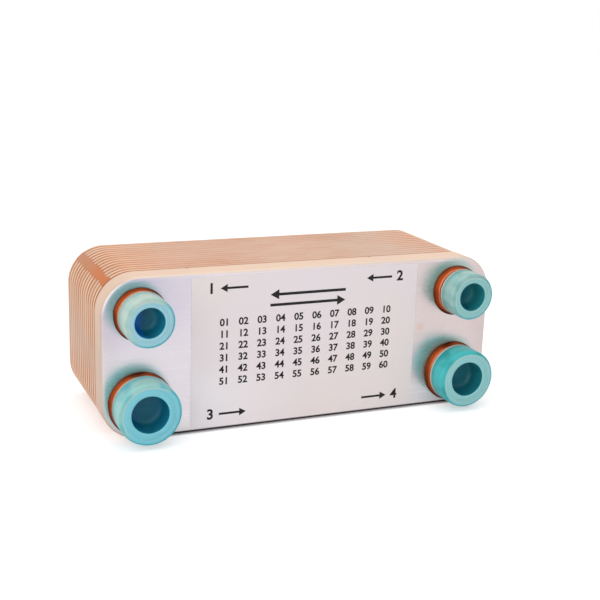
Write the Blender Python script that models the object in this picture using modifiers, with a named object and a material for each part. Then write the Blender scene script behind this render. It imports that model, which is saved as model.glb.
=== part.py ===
"""A brazed plate wort chiller standing on its long narrow edge, its four capped ports facing -Y.

Length runs along X, the stack of plates along Y and height along Z.  The origin is the centre of
the footprint of the whole part, caps included.  Inside the chiller's own frame, y is the distance
behind the flat face of the front cover.
"""
import math

import bmesh
import bpy

MM = 0.001

# Outline that every cover and plate is pressed to
BODY_LENGTH = 206.0 * MM
BODY_HEIGHT = 79.0 * MM
CORNER_RADIUS = 18.5 * MM
RIM_DEPTH = 12.2 * MM

# Front cover
COVER_SHEET = 0.6 * MM
LIP_RADIUS = 1.8 * MM

# Channel plates
PLATE_COUNT = 14
PLATE_PITCH = 4.35 * MM
PLATE_SHEET = 0.35 * MM
NEST_GAP = 0.25 * MM
RIDGE_PITCH = 23.0 * MM
CHEVRON_ANGLE = math.radians(60.0)
RIDGE_RUNOUT = 3.0 * MM
FIELD_MARGIN = 1.5 * MM
EDGE_MARGIN = 3.0 * MM

# Back reinforcing plate and back cover
BACK_PLATE_THICKNESS = 2.8 * MM
BACK_SHEET = 1.5 * MM
BACK_OVERHANG = 0.3 * MM

# Clearance between pieces that are brazed or pressed flat against each other
SEAT_GAP = 0.3 * MM

# Ports: wort ports above and water ports below, set in from the body's ends and long edges
PORT_INSET_X = 19.0 * MM
PORT_INSET_Z = 17.7 * MM
DUCT_RADIUS = 8.0 * MM
DISH_WIDTH = 3.0 * MM

# Threaded fittings
WORT_THREAD_RADIUS = 10.67 * MM
WORT_BORE_RADIUS = 8.3 * MM
WATER_THREAD_RADIUS = 13.5 * MM
WATER_BORE_RADIUS = 10.1 * MM
WORT_THREAD_PITCH = 1.81 * MM
WATER_THREAD_PITCH = 2.21 * MM
THREAD_DEPTH = 0.9 * MM
THREAD_CHAMFER = 0.8 * MM
THREAD_RUNOUT = 0.6 * MM
SPIGOT_WALL = 1.2 * MM

# Copper fillets around the fittings
FILLET_FOOT_WIDTH = 2.7 * MM
FILLET_CROWN_WIDTH = 1.4 * MM
FILLET_HEIGHT = 3.3 * MM
FILLET_FOOT_HEIGHT = 0.7 * MM
FILLET_GAP = 0.2 * MM

# Plastic caps
WORT_CAP_REACH = 15.8 * MM
WATER_CAP_REACH = 16.4 * MM
WORT_CAP_WALL = 1.0 * MM
WATER_CAP_WALL = 1.3 * MM
CAP_FIT_GAP = 0.3 * MM
CAP_FACE_THICKNESS = 0.9 * MM
CAP_CUP_WALL = 0.8 * MM
CAP_RECESS_DEPTH = 11.0 * MM
CAP_EDGE_ROUND = 0.8 * MM
CAP_MOUTH_ROUND = 0.4 * MM
CAP_STANDOFF = 0.9 * MM

# Label
LABEL_LENGTH = 119.5 * MM
LABEL_SHEET = 0.12 * MM
LABEL_GAP = 0.05 * MM
LABEL_MARGIN = 0.2 * MM

# How finely the round shapes are faceted
COVER_CORNER_STEPS = 8
PLATE_CORNER_STEPS = 5
LIP_STEPS = 3
DUCT_STEPS = 12
TURNED_STEPS = 24

# Nested rims: each rim flares by one sheet and one gap for every plate of the stack
RIM_STEP = PLATE_SHEET + NEST_GAP
FLARE = math.tan(math.asin(RIM_STEP / PLATE_PITCH))
PLATE_EDGE_INSET = COVER_SHEET - PLATE_SHEET

# Distances of the ports from the body's centre
PORT_X = BODY_LENGTH / 2 - PORT_INSET_X
PORT_Z = BODY_HEIGHT / 2 - PORT_INSET_Z

# Depths behind the front face
FIRST_PLATE_Y = PLATE_PITCH
STACK_END_Y = FIRST_PLATE_Y + PLATE_COUNT * PLATE_PITCH
LAST_RIM_Y = STACK_END_Y - PLATE_PITCH + RIM_DEPTH
BACK_COVER_Y = STACK_END_Y + BACK_PLATE_THICKNESS + SEAT_GAP
BACK_END_Y = LAST_RIM_Y + BACK_OVERHANG
CAP_REACH = max(WORT_CAP_REACH, WATER_CAP_REACH)
FACE_Y = (CAP_REACH - BACK_END_Y) / 2

# Pressed relief of a channel plate, measured on its front surface
RELIEF_LIMIT = PLATE_PITCH - SEAT_GAP - PLATE_SHEET


def clear_scene():
    for item in list(bpy.data.objects):
        bpy.data.objects.remove(item, do_unlink=True)


def make_material(name, colour, metallic, roughness):
    material = bpy.data.materials.new(name)
    material.use_nodes = True
    shader = material.node_tree.nodes["Principled BSDF"]
    shader.inputs["Base Color"].default_value = (*colour, 1.0)
    shader.inputs["Metallic"].default_value = metallic
    shader.inputs["Roughness"].default_value = roughness
    material.diffuse_color = (*colour, 1.0)
    return material


def make_empty(name, parent, location, rotation=(0, 0, 0)):
    empty = bpy.data.objects.new(name, None)
    bpy.context.scene.collection.objects.link(empty)
    empty.parent = parent
    empty.location = location
    empty.rotation_euler = rotation
    return empty


def add_part(name, data, material, parent, location=(0, 0, 0), rotation=(0, 0, 0)):
    """Link a mesh or curve as one named piece of the chiller."""
    part = bpy.data.objects.new(name, data)
    PARTS.objects.link(part)
    part.parent = parent
    part.location = location
    part.rotation_euler = rotation
    if not data.materials:
        data.materials.append(material)
    return part


# Outlines -----------------------------------------------------------------------------------


def body_outline(inset, steps):
    """(x, z) points of the body's rounded outline pulled in by inset, centred on the body."""
    radius = CORNER_RADIUS - inset
    corner_x = BODY_LENGTH / 2 - CORNER_RADIUS
    corner_z = BODY_HEIGHT / 2 - CORNER_RADIUS
    points = []
    for quarter, (side_x, side_z) in enumerate(((1, 1), (-1, 1), (-1, -1), (1, -1))):
        for step in range(steps + 1):
            angle = (quarter + step / steps) * math.pi / 2
            x = side_x * corner_x + radius * math.cos(angle)
            z = side_z * corner_z + radius * math.sin(angle)
            points.append((x, z))
    return points


def circle(centre, radius, steps):
    """(x, z) points of a circle."""
    points = []
    for step in range(steps):
        angle = 2 * math.pi * step / steps
        points.append((centre[0] + radius * math.cos(angle), centre[1] + radius * math.sin(angle)))
    return points


def port_centre(side, level):
    """(x, z) of a port from the body's centre; side is -1 left or 1 right, level 1 up or -1 down."""
    return side * PORT_X, level * PORT_Z


# Pressed sheets -----------------------------------------------------------------------------


def edge_loop(mesh, points, depth):
    """A closed loop of edges through (x, z) points at one depth."""
    corners = [mesh.verts.new((x, depth, z)) for x, z in points]
    return [mesh.edges.new((corners[i - 1], corners[i])) for i in range(len(corners))]


def finish_sheet(mesh, name):
    """Turn all faces the same way, out of the front, and store the surface as a mesh."""
    bmesh.ops.recalc_face_normals(mesh, faces=mesh.faces)
    foremost = min(mesh.faces, key=lambda face: face.calc_center_median().y)
    if foremost.normal.y > 0:
        bmesh.ops.reverse_faces(mesh, faces=mesh.faces)
    data = bpy.data.meshes.new(name)
    mesh.to_mesh(data)
    mesh.free()
    data.shade_smooth()
    data.set_sharp_from_angle(angle=math.radians(20))
    return data


def thicken(part, thickness):
    """Give an open front surface its sheet thickness, behind it."""
    shell = part.modifiers.new("Sheet", "SOLIDIFY")
    shell.thickness = thickness
    shell.offset = -1
    shell.use_even_offset = True
    shell.use_rim = True


def tray_mesh(name, rings, hole_radii, steps, has_inside=False):
    """A flat-faced tray.  rings are (inset, depth) pairs from the face's edge round the rim, and
    hole_radii maps each port's (side, level) to the radius of its hole.  A tray that has its
    inside too is solid, with its floor across the last ring.  Two rings at one depth bound a
    flat rim."""
    mesh = bmesh.new()
    loops = [edge_loop(mesh, body_outline(inset, steps), depth) for inset, depth in rings]
    face_edges = list(loops[0])
    for port, radius in hole_radii.items():
        face_edges += edge_loop(mesh, circle(port_centre(*port), radius, TURNED_STEPS), rings[0][1])
    bmesh.ops.triangle_fill(mesh, edges=face_edges, use_beauty=True, normal=(0, -1, 0))
    for index, (near, far) in enumerate(zip(loops, loops[1:])):
        if rings[index][1] == rings[index + 1][1]:
            bmesh.ops.triangle_fill(mesh, edges=near + far, use_beauty=True, normal=(0, 1, 0))
        else:
            bmesh.ops.bridge_loops(mesh, edges=near + far)
    if has_inside:
        bmesh.ops.triangle_fill(mesh, edges=loops[-1], use_beauty=True, normal=(0, 1, 0))
    return finish_sheet(mesh, name)


def chevron_field(mesh):
    """The herringbone of a channel plate, flat at its border; returns the border's edges."""
    lean = 1 / math.tan(CHEVRON_ANGLE)
    clearance = DUCT_RADIUS + DISH_WIDTH + FIELD_MARGIN
    away = clearance * math.hypot(1, lean)
    left = -PORT_X + away + lean * PORT_Z
    right = PORT_X - away + lean * PORT_Z
    columns = 2 * max(1, round((right - left) / RIDGE_PITCH))
    half_ridge = (right - left) / columns
    slope_length = half_ridge * math.sin(CHEVRON_ANGLE)
    sheet_depth = PLATE_SHEET * (math.hypot(1, RELIEF_LIMIT / slope_length) - 1)
    relief = RELIEF_LIMIT - sheet_depth
    border = BODY_HEIGHT / 2 - PLATE_EDGE_INSET - RIM_DEPTH * FLARE - EDGE_MARGIN
    rows = (-border, -border + RIDGE_RUNOUT, 0, border - RIDGE_RUNOUT, border)
    grid = bmesh.ops.create_grid(mesh, x_segments=columns, y_segments=len(rows) - 1, size=0.5)
    for corner in grid["verts"]:
        column = round((corner.co.x + 0.5) * columns)
        row = round((corner.co.y + 0.5) * (len(rows) - 1))
        in_field = 0 < row < len(rows) - 1
        z = rows[row]
        corner.co.x = left + column * half_ridge - lean * abs(z)
        corner.co.y = relief if in_field and column % 2 else 0
        corner.co.z = z
    return [edge for edge in mesh.edges if edge.is_boundary]


def plate_surface():
    """Front surface of a channel plate: the upper ports dished back, the lower ones level."""
    mesh = bmesh.new()
    face_edges = chevron_field(mesh)
    for side in (-1, 1):
        upper = port_centre(side, 1)
        lower = port_centre(side, -1)
        dish_brim = edge_loop(mesh, circle(upper, DUCT_RADIUS + DISH_WIDTH, DUCT_STEPS), 0)
        dish_hole = edge_loop(mesh, circle(upper, DUCT_RADIUS, DUCT_STEPS), RELIEF_LIMIT)
        bmesh.ops.bridge_loops(mesh, edges=dish_brim + dish_hole)
        face_edges += dish_brim
        face_edges += edge_loop(mesh, circle(lower, DUCT_RADIUS, DUCT_STEPS), 0)
    root_inset = PLATE_EDGE_INSET + RIM_DEPTH * FLARE
    root = edge_loop(mesh, body_outline(root_inset, PLATE_CORNER_STEPS), 0)
    bmesh.ops.triangle_fill(mesh, edges=face_edges + root, use_beauty=True, normal=(0, -1, 0))
    free_edge = edge_loop(mesh, body_outline(PLATE_EDGE_INSET, PLATE_CORNER_STEPS), RIM_DEPTH)
    bmesh.ops.bridge_loops(mesh, edges=root + free_edge)
    return finish_sheet(mesh, "channel_plate")


# Flat and turned pieces ---------------------------------------------------------------------


def flat_plate(name, inset, thickness, hole_radii):
    """A flat plate cut to the body's outline, as a filled curve lying in its own XY plane."""
    curve = bpy.data.curves.new(name, "CURVE")
    curve.dimensions = "2D"
    curve.fill_mode = "BOTH"
    curve.extrude = thickness / 2
    outlines = [body_outline(inset, PLATE_CORNER_STEPS)]
    for port, radius in hole_radii.items():
        outlines.append(circle(port_centre(*port), radius, TURNED_STEPS))
    for outline in outlines:
        spline = curve.splines.new("POLY")
        spline.points.add(len(outline) - 1)
        for point, (x, z) in zip(spline.points, outline):
            point.co = (x, z, 0, 1)
        spline.use_cyclic_u = True
    return curve


def turned_mesh(name, profile, closed):
    """A profile of (radius, height) points, from the top down its outer side."""
    data = bpy.data.meshes.new(name)
    corners = [(radius, 0, height) for radius, height in profile]
    edges = [(i, i + 1) for i in range(len(corners) - 1)]
    if closed:
        edges.append((len(corners) - 1, 0))
    data.from_pydata(corners, edges, [])
    return data


def spin(part):
    """Turn a part's profile about its own Z axis."""
    turn = part.modifiers.new("Turn", "SCREW")
    turn.axis = "Z"
    turn.angle = 2 * math.pi
    turn.screw_offset = 0
    turn.steps = TURNED_STEPS
    turn.render_steps = TURNED_STEPS
    turn.use_merge_vertices = True
    turn.merge_threshold = 0.01 * MM
    turn.use_smooth_shade = True


def rounded_edge(radius, height, size, start, steps=2):
    """Points of a quarter round about (radius, height), from the angle start and going clockwise."""
    points = []
    for step in range(steps + 1):
        angle = start - step / steps * math.pi / 2
        points.append((radius + size * math.cos(angle), height + size * math.sin(angle)))
    return points


def thread_points(radius, pitch, top, bottom):
    """Crests and roots down the outside of a nipple, as V grooves at the thread's pitch."""
    points = []
    for turn in range(int((top - bottom) / pitch)):
        crest = top - turn * pitch
        points.append((radius, crest))
        points.append((radius - THREAD_DEPTH, crest - pitch / 2))
    points.append((radius, top - len(points) / 2 * pitch))
    return points


def fitting_profile(kind):
    """A threaded nipple with a spigot that passes through the front cover."""
    top = kind["fitting_reach"]
    bottom = SEAT_GAP - FIRST_PLATE_Y
    thread = kind["thread_radius"]
    bore = kind["bore_radius"]
    spigot = kind["spigot_radius"]
    thread_end = FILLET_HEIGHT + THREAD_RUNOUT
    profile = [(bore, top), (thread - THREAD_CHAMFER, top)]
    profile += thread_points(thread, kind["thread_pitch"], top - THREAD_CHAMFER, thread_end)
    profile += [
        (thread, FILLET_GAP),
        (spigot, FILLET_GAP),
        (spigot, bottom),
        (bore, bottom),
    ]
    return profile


def fillet_profile(kind):
    """A copper fillet: a broad foot on the cover that sweeps up to a narrow crown."""
    inner = kind["thread_radius"] + FILLET_GAP
    foot = kind["thread_radius"] + FILLET_FOOT_WIDTH
    crown = kind["thread_radius"] + FILLET_CROWN_WIDTH
    waist = (foot + crown) / 2
    waist_height = FILLET_FOOT_HEIGHT + (foot - waist)
    return [
        (inner, FILLET_HEIGHT),
        (crown, FILLET_HEIGHT),
        (waist, waist_height),
        (foot, FILLET_FOOT_HEIGHT),
        (foot, FILLET_GAP),
        (inner, FILLET_GAP),
    ]


def cap_profile(kind):
    """A plastic cap: a skirt around the thread and a closed cup inside the bore."""
    top = kind["cap_reach"]
    rear = FILLET_HEIGHT + CAP_STANDOFF
    outer = kind["cap_radius"]
    skirt_inner = kind["thread_radius"] + CAP_FIT_GAP
    cup_outer = kind["bore_radius"] - CAP_FIT_GAP
    recess = cup_outer - CAP_CUP_WALL
    floor = top - CAP_RECESS_DEPTH
    profile = [(0, floor), (recess, floor)]
    mouth = rounded_edge(recess + CAP_MOUTH_ROUND, top - CAP_MOUTH_ROUND, CAP_MOUTH_ROUND, math.pi)
    profile += mouth
    profile += rounded_edge(outer - CAP_EDGE_ROUND, top - CAP_EDGE_ROUND, CAP_EDGE_ROUND, math.pi / 2)
    profile += [
        (outer, rear),
        (skirt_inner, rear),
        (skirt_inner, top - CAP_FACE_THICKNESS),
        (cup_outer, top - CAP_FACE_THICKNESS),
        (cup_outer, floor - CAP_CUP_WALL),
        (0, floor - CAP_CUP_WALL),
    ]
    return profile


# Sub-parts ----------------------------------------------------------------------------------


def port_kind(thread_radius, thread_pitch, bore_radius, cap_reach, cap_wall):
    """Sizes that one port's fitting, fillet, cap and holes share."""
    return {
        "thread_radius": thread_radius,
        "thread_pitch": thread_pitch,
        "bore_radius": bore_radius,
        "spigot_radius": bore_radius + SPIGOT_WALL,
        "cap_reach": cap_reach,
        "cap_radius": thread_radius + CAP_FIT_GAP + cap_wall,
        "fitting_reach": cap_reach - CAP_FACE_THICKNESS - SEAT_GAP,
    }


def build_front_cover(body, ports):
    rings = []
    for step in range(LIP_STEPS + 1):
        angle = step / LIP_STEPS * math.pi / 2
        rings.append((LIP_RADIUS * (1 - math.sin(angle)), LIP_RADIUS * (1 - math.cos(angle))))
    rings.append((0, RIM_DEPTH))
    holes = {place: kind["spigot_radius"] + SEAT_GAP for place, kind in ports.items()}
    data = tray_mesh("front_cover", rings, holes, COVER_CORNER_STEPS)
    steel = make_material("satin_steel", (0.66, 0.60, 0.62), 1.0, 0.32)
    thicken(add_part("front_cover", data, steel, body), COVER_SHEET)


def build_front_reinforcing_plate(body, ports):
    front = COVER_SHEET + SEAT_GAP
    back = FIRST_PLATE_Y - SEAT_GAP
    holes = {place: kind["spigot_radius"] + SEAT_GAP for place, kind in ports.items()}
    curve = flat_plate("front_reinforcing_plate", LIP_RADIUS + SEAT_GAP, back - front, holes)
    steel = make_material("front_plate_steel", (0.60, 0.56, 0.55), 1.0, 0.4)
    upright = (math.pi / 2, 0, 0)
    add_part("front_reinforcing_plate", curve, steel, body, (0, (front + back) / 2, 0), upright)


def build_channel_plates(body):
    """The same pressing throughout, every second one turned half a turn in its own plane."""
    data = plate_surface()
    brazed = make_material("copper_brazed_steel", (0.70, 0.42, 0.30), 1.0, 0.35)
    for number in range(PLATE_COUNT):
        turn = math.pi * (number % 2)
        place = (0, FIRST_PLATE_Y + number * PLATE_PITCH, 0)
        name = f"channel_plate_{number + 1:02d}"
        thicken(add_part(name, data, brazed, body, place, (0, turn, 0)), PLATE_SHEET)


def build_back_reinforcing_plate(body):
    rim_run = RIM_DEPTH - PLATE_PITCH
    inset = PLATE_EDGE_INSET + rim_run * FLARE + RIM_STEP + SEAT_GAP
    curve = flat_plate("back_reinforcing_plate", inset, BACK_PLATE_THICKNESS, {})
    steel = make_material("back_plate_steel", (0.60, 0.56, 0.55), 1.0, 0.4)
    middle = STACK_END_Y + BACK_PLATE_THICKNESS / 2
    upright = (math.pi / 2, 0, 0)
    add_part("back_reinforcing_plate", curve, steel, body, (0, middle, 0), upright)


def build_back_cover(body):
    """The last tray, nested in the last channel plate; the part can lie on its flat rim."""
    depth = BACK_END_Y - BACK_COVER_Y
    edge_inset = PLATE_EDGE_INSET + RIM_STEP / math.cos(math.atan(FLARE)) - BACK_OVERHANG * FLARE
    rings = [
        (edge_inset + depth * FLARE, 0),
        (edge_inset, depth),
        (edge_inset + BACK_SHEET, depth),
        (edge_inset + BACK_SHEET + (depth - BACK_SHEET) * FLARE, BACK_SHEET),
    ]
    data = tray_mesh("back_cover", rings, {}, COVER_CORNER_STEPS, has_inside=True)
    steel = make_material("back_cover_steel", (0.66, 0.60, 0.60), 1.0, 0.35)
    add_part("back_cover", data, steel, body, (0, BACK_COVER_Y, 0))


def build_port(name, body, place, kind):
    """One port: a fitting, its copper fillet and the cap that pulls off along the port's axis."""
    x, z = port_centre(*place)
    axis = make_empty(name + "_axis", body, (x, 0, z), (math.pi / 2, 0, 0))
    pieces = (
        ("fitting", fitting_profile(kind), True, (0.68, 0.64, 0.62), 1.0, 0.3),
        ("braze_fillet", fillet_profile(kind), True, (0.60, 0.20, 0.07), 1.0, 0.35),
        ("cap", cap_profile(kind), False, (0.20, 0.62, 0.62), 0.0, 0.35),
    )
    for piece, profile, closed, colour, metallic, roughness in pieces:
        title = f"{name}_{piece}"
        material = make_material(title, colour, metallic, roughness)
        spin(add_part(title, turned_mesh(title, profile, closed), material, axis))


def build_label(body):
    height = BODY_HEIGHT - 2 * (LIP_RADIUS + LABEL_MARGIN)
    bpy.ops.mesh.primitive_cube_add(size=1)
    label = bpy.context.object
    label.name = "label"
    label.data.name = "label"
    for corner in label.data.vertices:
        corner.co.x *= LABEL_LENGTH
        corner.co.y *= LABEL_SHEET
        corner.co.z *= height
    for home in label.users_collection:
        home.objects.unlink(label)
    PARTS.objects.link(label)
    label.parent = body
    label.location = (0, -LABEL_GAP - LABEL_SHEET / 2, 0)
    label.data.materials.append(make_material("label_paper", (0.72, 0.66, 0.67), 0.0, 0.5))


def build_chiller():
    body = make_empty("body_frame", None, (0, FACE_Y, BODY_HEIGHT / 2))
    wort = port_kind(
        WORT_THREAD_RADIUS, WORT_THREAD_PITCH, WORT_BORE_RADIUS, WORT_CAP_REACH, WORT_CAP_WALL
    )
    water = port_kind(
        WATER_THREAD_RADIUS, WATER_THREAD_PITCH, WATER_BORE_RADIUS, WATER_CAP_REACH, WATER_CAP_WALL
    )
    ports = {(-1, 1): wort, (1, 1): wort, (-1, -1): water, (1, -1): water}
    names = {(-1, 1): "wort_out", (1, 1): "wort_in", (-1, -1): "water_in", (1, -1): "water_out"}
    build_front_cover(body, ports)
    build_front_reinforcing_plate(body, ports)
    build_channel_plates(body)
    build_back_reinforcing_plate(body)
    build_back_cover(body)
    for place, kind in ports.items():
        build_port(names[place], body, place, kind)
    build_label(body)


clear_scene()
PARTS = bpy.data.collections.new("wort_chiller")
bpy.context.scene.collection.children.link(PARTS)
build_chiller()
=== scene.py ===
"""Studio picture of a brazed plate wort chiller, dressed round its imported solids.

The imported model's frame is kept throughout: metres, X along the body, Y from the capped front to
the back, Z up.  What a solid's box gives is read from it, and the other sizes are named below.
"""

import math

import bmesh
import bpy
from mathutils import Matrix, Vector, noise


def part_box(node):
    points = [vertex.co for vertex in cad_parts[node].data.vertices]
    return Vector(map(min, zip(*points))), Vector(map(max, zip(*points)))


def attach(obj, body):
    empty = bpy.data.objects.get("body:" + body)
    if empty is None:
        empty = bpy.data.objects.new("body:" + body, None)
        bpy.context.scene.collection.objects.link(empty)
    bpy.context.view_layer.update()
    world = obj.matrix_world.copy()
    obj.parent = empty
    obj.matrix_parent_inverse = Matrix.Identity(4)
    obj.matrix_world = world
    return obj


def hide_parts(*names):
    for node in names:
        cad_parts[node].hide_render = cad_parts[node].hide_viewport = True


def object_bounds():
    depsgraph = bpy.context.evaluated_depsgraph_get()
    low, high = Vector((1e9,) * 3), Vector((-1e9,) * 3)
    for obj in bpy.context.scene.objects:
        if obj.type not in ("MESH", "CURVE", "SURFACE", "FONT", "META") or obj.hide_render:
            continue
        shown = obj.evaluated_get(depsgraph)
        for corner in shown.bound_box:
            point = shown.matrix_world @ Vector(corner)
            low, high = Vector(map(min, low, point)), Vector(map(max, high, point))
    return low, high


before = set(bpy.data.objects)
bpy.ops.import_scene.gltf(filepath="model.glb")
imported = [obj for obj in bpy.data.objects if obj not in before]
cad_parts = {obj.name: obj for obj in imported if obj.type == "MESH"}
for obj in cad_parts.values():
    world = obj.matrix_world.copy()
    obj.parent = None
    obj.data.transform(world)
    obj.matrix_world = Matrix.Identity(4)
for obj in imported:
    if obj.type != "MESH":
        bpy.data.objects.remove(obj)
SOLID_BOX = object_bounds()

MM = 0.001

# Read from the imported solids
COVER_LOW, COVER_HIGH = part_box("front_cover")
FACE_Y = COVER_LOW.y
RIM_DEPTH = COVER_HIGH.y - FACE_Y
HALF_LENGTH = (COVER_HIGH.x - COVER_LOW.x) / 2
HALF_HEIGHT = (COVER_HIGH.z - COVER_LOW.z) / 2
MIDDLE_Z = (COVER_HIGH.z + COVER_LOW.z) / 2
PLATES = sorted(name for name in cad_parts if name.startswith("channel_plate_"))
FIRST_PLATE_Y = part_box(PLATES[0])[0].y
PLATE_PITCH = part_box(PLATES[1])[0].y - FIRST_PLATE_Y
PLATE_EDGE_INSET = HALF_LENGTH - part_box(PLATES[0])[1].x
PORTS = ("wort_out", "wort_in", "water_in", "water_out")

# Pressed sheet
CORNER_RADIUS = 18.5 * MM
LIP_RADIUS = 1.8 * MM
COVER_SHEET = 0.6 * MM
PLATE_SHEET = 0.35 * MM
NEST_GAP = 0.25 * MM
PLATE_BEND = 1.0 * MM
FLAT_MARGIN = 0.4 * MM
EDGE_ROLL = 0.06 * MM
EDGE_WAVE = 0.08 * MM
EDGE_WAVE_LENGTH = 30.0 * MM
RIM_SHARES = (0.35, 0.7, 0.9)

# Copper that the furnace drew into the seams between the rims
SEAM_RUN = 1.3 * MM
SEAM_SAG = 0.08 * MM
SEAM_TUCK = 0.1 * SEAM_RUN
POOL_ANGLE = math.radians(48.0)
POOL_HALF_WIDTH = math.radians(9.0)
POOL_INSET = 0.05 * MM
POOL_SPREAD = 1.6
STAIN_ANGLE = math.radians(84.0)
STAIN_HALF_WIDTH = math.radians(8.0)

# Painted teal reflection and shadow of the caps on the face round each brazed port, stronger above and
# to the left of it
CAP_REFLECTION_SHIFT = 2.8 * MM
CAP_REFLECTION_REACH = 3.6 * MM
CAP_REFLECTION_STRENGTH = 0.5

# A faint copper smudge on the cover's face, two small marks on its rim's back edge, and the part
# of its lip, by distance from its left end, where painted shade dims the lamp's highlight
SMUDGE = (63.6 * MM, FACE_Y, 43.1 * MM)
SMUDGE_RADIUS = 3.2 * MM
SEAM_MARKS = (-58.6 * MM, 38.0 * MM)
GLARE_START = 20.0 * MM
GLARE_FULL = 8.0 * MM

# Herringbone of the channel plates
RIDGE_PITCH = 23.0 * MM
CHEVRON_ANGLE = math.radians(60.0)
RIDGE_RUNOUT = 3.0 * MM
FIELD_MARGIN = 1.5 * MM
EDGE_MARGIN = 3.0 * MM
RELIEF_CLEARANCE = 0.5 * MM
DUCT_RADIUS = 8.0 * MM
DISH_WIDTH = 3.0 * MM
RUNOUT_SHARES = (0.0, 0.25, 0.5, 0.75, 1.0)

# Back cover
BACK_SHEET = 1.5 * MM
BACK_ROUND = 0.5 * MM
ROUND_CUT = 0.3 * BACK_ROUND

# Ports
SPIGOT_WALL = 1.2 * MM
SPIGOT_GAP = 0.3 * MM
THREAD_PITCH = {"wort": 1.81 * MM, "water": 2.21 * MM}
THREAD_DEPTH = 0.9 * MM
THREAD_CHAMFER = 0.8 * MM
THREAD_RUNOUT = 1.2 * MM
MOUTH_CHAMFER = 0.3 * MM
FILLET_CROWN_WIDTH = 1.4 * MM
FILLET_CROWN_ROUND = 0.4 * MM
FILLET_FOOT_HEIGHT = 0.7 * MM
FILLET_FOOT_ROUND = 0.3 * MM
FILLET_LAP = 0.1 * MM
FILLET_WAVE = 0.18 * MM
FILLET_LEAN = 0.6 * MM
FILLET_LEAN_ANGLE = math.radians(30.0)
FILLET_CREASE = 0.22 * MM
FILLET_SWEEP = ((0.2, 0.0), (0.32, 1.0), (0.42, 0.2), (0.55, 0.0), (0.7, 0.0), (0.85, 0.0))
FILLET_BUMPS = 2.2
FILLET_SPREAD = {"wort_in": 0.6 * MM}
CAP_FIT_GAP = 0.3 * MM
CAP_FACE_THICKNESS = 0.9 * MM
CAP_CUP_WALL = 0.8 * MM
CAP_RECESS_DEPTH = 11.0 * MM
CAP_EDGE_WIDTH = 2.3 * MM
CAP_EDGE_DROP = 1.1 * MM
CAP_MOUTH_ROUND = 0.4 * MM
CAP_FLOOR_ROUND = 3.0 * MM
CAP_REAR_ROUND = 0.25 * MM
CAP_GROOVE_DEPTH = 0.1 * MM
CAP_GROOVE_WIDTH = 0.5 * MM
CAP_GATE_RADIUS = 1.1 * MM
CAP_GATE_HEIGHT = 0.25 * MM
CAP_GATE_SLOPE = 1.15

# Cap tints, palest on the upper left cap and deepest on the lower right one as painted light and shade:
# at the skirt's foot, light and deep on its wall, the end, and left and right in the cup, as painted
# shade
CAP_LIT_AND_SHADED_TINTS = {
    "wort_out": (
        (200, 220, 208), (206, 224, 212), (140, 204, 202),
        (170, 224, 240), (0, 134, 222), (34, 144, 166),
    ),
    "wort_in": (
        (226, 214, 204), (172, 210, 206), (88, 168, 164),
        (162, 218, 218), (44, 148, 156), (44, 148, 156),
    ),
    "water_in": (
        (170, 210, 206), (168, 220, 214), (84, 190, 204),
        (142, 222, 240), (14, 128, 166), (22, 126, 156),
    ),
    "water_out": (
        (230, 218, 208), (80, 204, 206), (16, 158, 162),
        (162, 222, 224), (34, 126, 138), (34, 130, 142),
    ),
}

# Label and its print, from the label's centre.  A port mark is its figure, its side along X and
# along Z, and the way its arrow points; the grid's pitch and top row are in millimetres.
LABEL_CORNER = 0.3 * MM
LABEL_LIFT = 0.06 * MM
LABEL_LIFT_POWER = 12
PRINT_DEPTH = 0.02 * MM
PRINT_WEIGHT = 0.022
FONT_SCALE = 1.37
PORT_MARK_HEIGHT = 5.2 * MM
PORT_MARK_X = 50.0 * MM
PORT_MARK_Z = 31.5 * MM
PORT_MARKS = (("1", -1, 1, -1), ("2", 1, 1, -1), ("3", -1, -1, 1), ("4", 1, -1, 1))
PORT_ARROW_X = 38.5 * MM
PORT_ARROW = (14.0 * MM, 1.1 * MM)
FLOW_ARROW = (40.0 * MM, 1.4 * MM)
FLOW_ARROW_ROWS = ((26.6 * MM, -1), (21.4 * MM, 1))
ARROW_HEAD_LENGTH = 3.2
ARROW_HEAD_WIDTH = 3.6
GRID_MARK_HEIGHT = 3.6 * MM
GRID_ROWS = 6
GRID_COLUMNS = 10
GRID_PITCH = (9.6, 5.9)
GRID_TOP = 14.5

# Camera, solved from the photograph's outlines
LENS = 66.68
SENSOR = 36.0
CAMERA_AZIMUTH = math.radians(-23.43)
CAMERA_ELEVATION = math.radians(14.88)
CAMERA_ROLL = math.radians(1.95)
CAMERA_DISTANCE = 542.5 * MM
CAMERA_AIM = Vector((-4.46 * MM, FACE_Y, 62.33 * MM))

# Light, and how bright the floor looks.  A lamp is its name, place, width, height, power and tint.
WORLD_LIGHT = 0.58
LAMPS = (
    ("left_softbox", (-1.2, -0.85, 0.75), 2.2, 1.8, 13.5, (1.0, 0.99, 0.97)),
    ("top_softbox", (0.15, 0.1, 1.6), 2.0, 2.0, 8.0, (1.0, 1.0, 1.0)),
)
FLOOR_SIZE = 8.0
FLOOR_LIFT = 0.45
MIRRORED_FLOOR_LIFT = 0.18
FAR_FLOOR_LIFT = 0.62
FAR_FLOOR_START = 0.3
FAR_FLOOR_END = 2.0
CONTACT_SHADE_INNER = 0.5 * MM
CONTACT_SHADE_OUTER = 2.5 * MM

# How finely round shapes are cut
CORNER_STEPS = 20
LONG_STEPS = 28
SHORT_STEPS = 8
LIP_STEPS = 8
BEND_STEPS = 4
DUCT_STEPS = 40
ROUND_STEPS = 96
CAP_EDGE_STEPS = 10
RIDGE_STEPS = 8
THREAD_STEPS = 8
LABEL_STEPS = (60, 40)
FIGURE_STEPS = 6

# Derived sizes
RIM_STEP = PLATE_SHEET + NEST_GAP
FLARE = math.tan(math.asin(RIM_STEP / PLATE_PITCH))
SEAM_DEPTH = RIM_DEPTH - PLATE_PITCH
RELIEF_LIMIT = PLATE_PITCH - RELIEF_CLEARANCE - PLATE_SHEET


# Node helpers ----------


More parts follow.
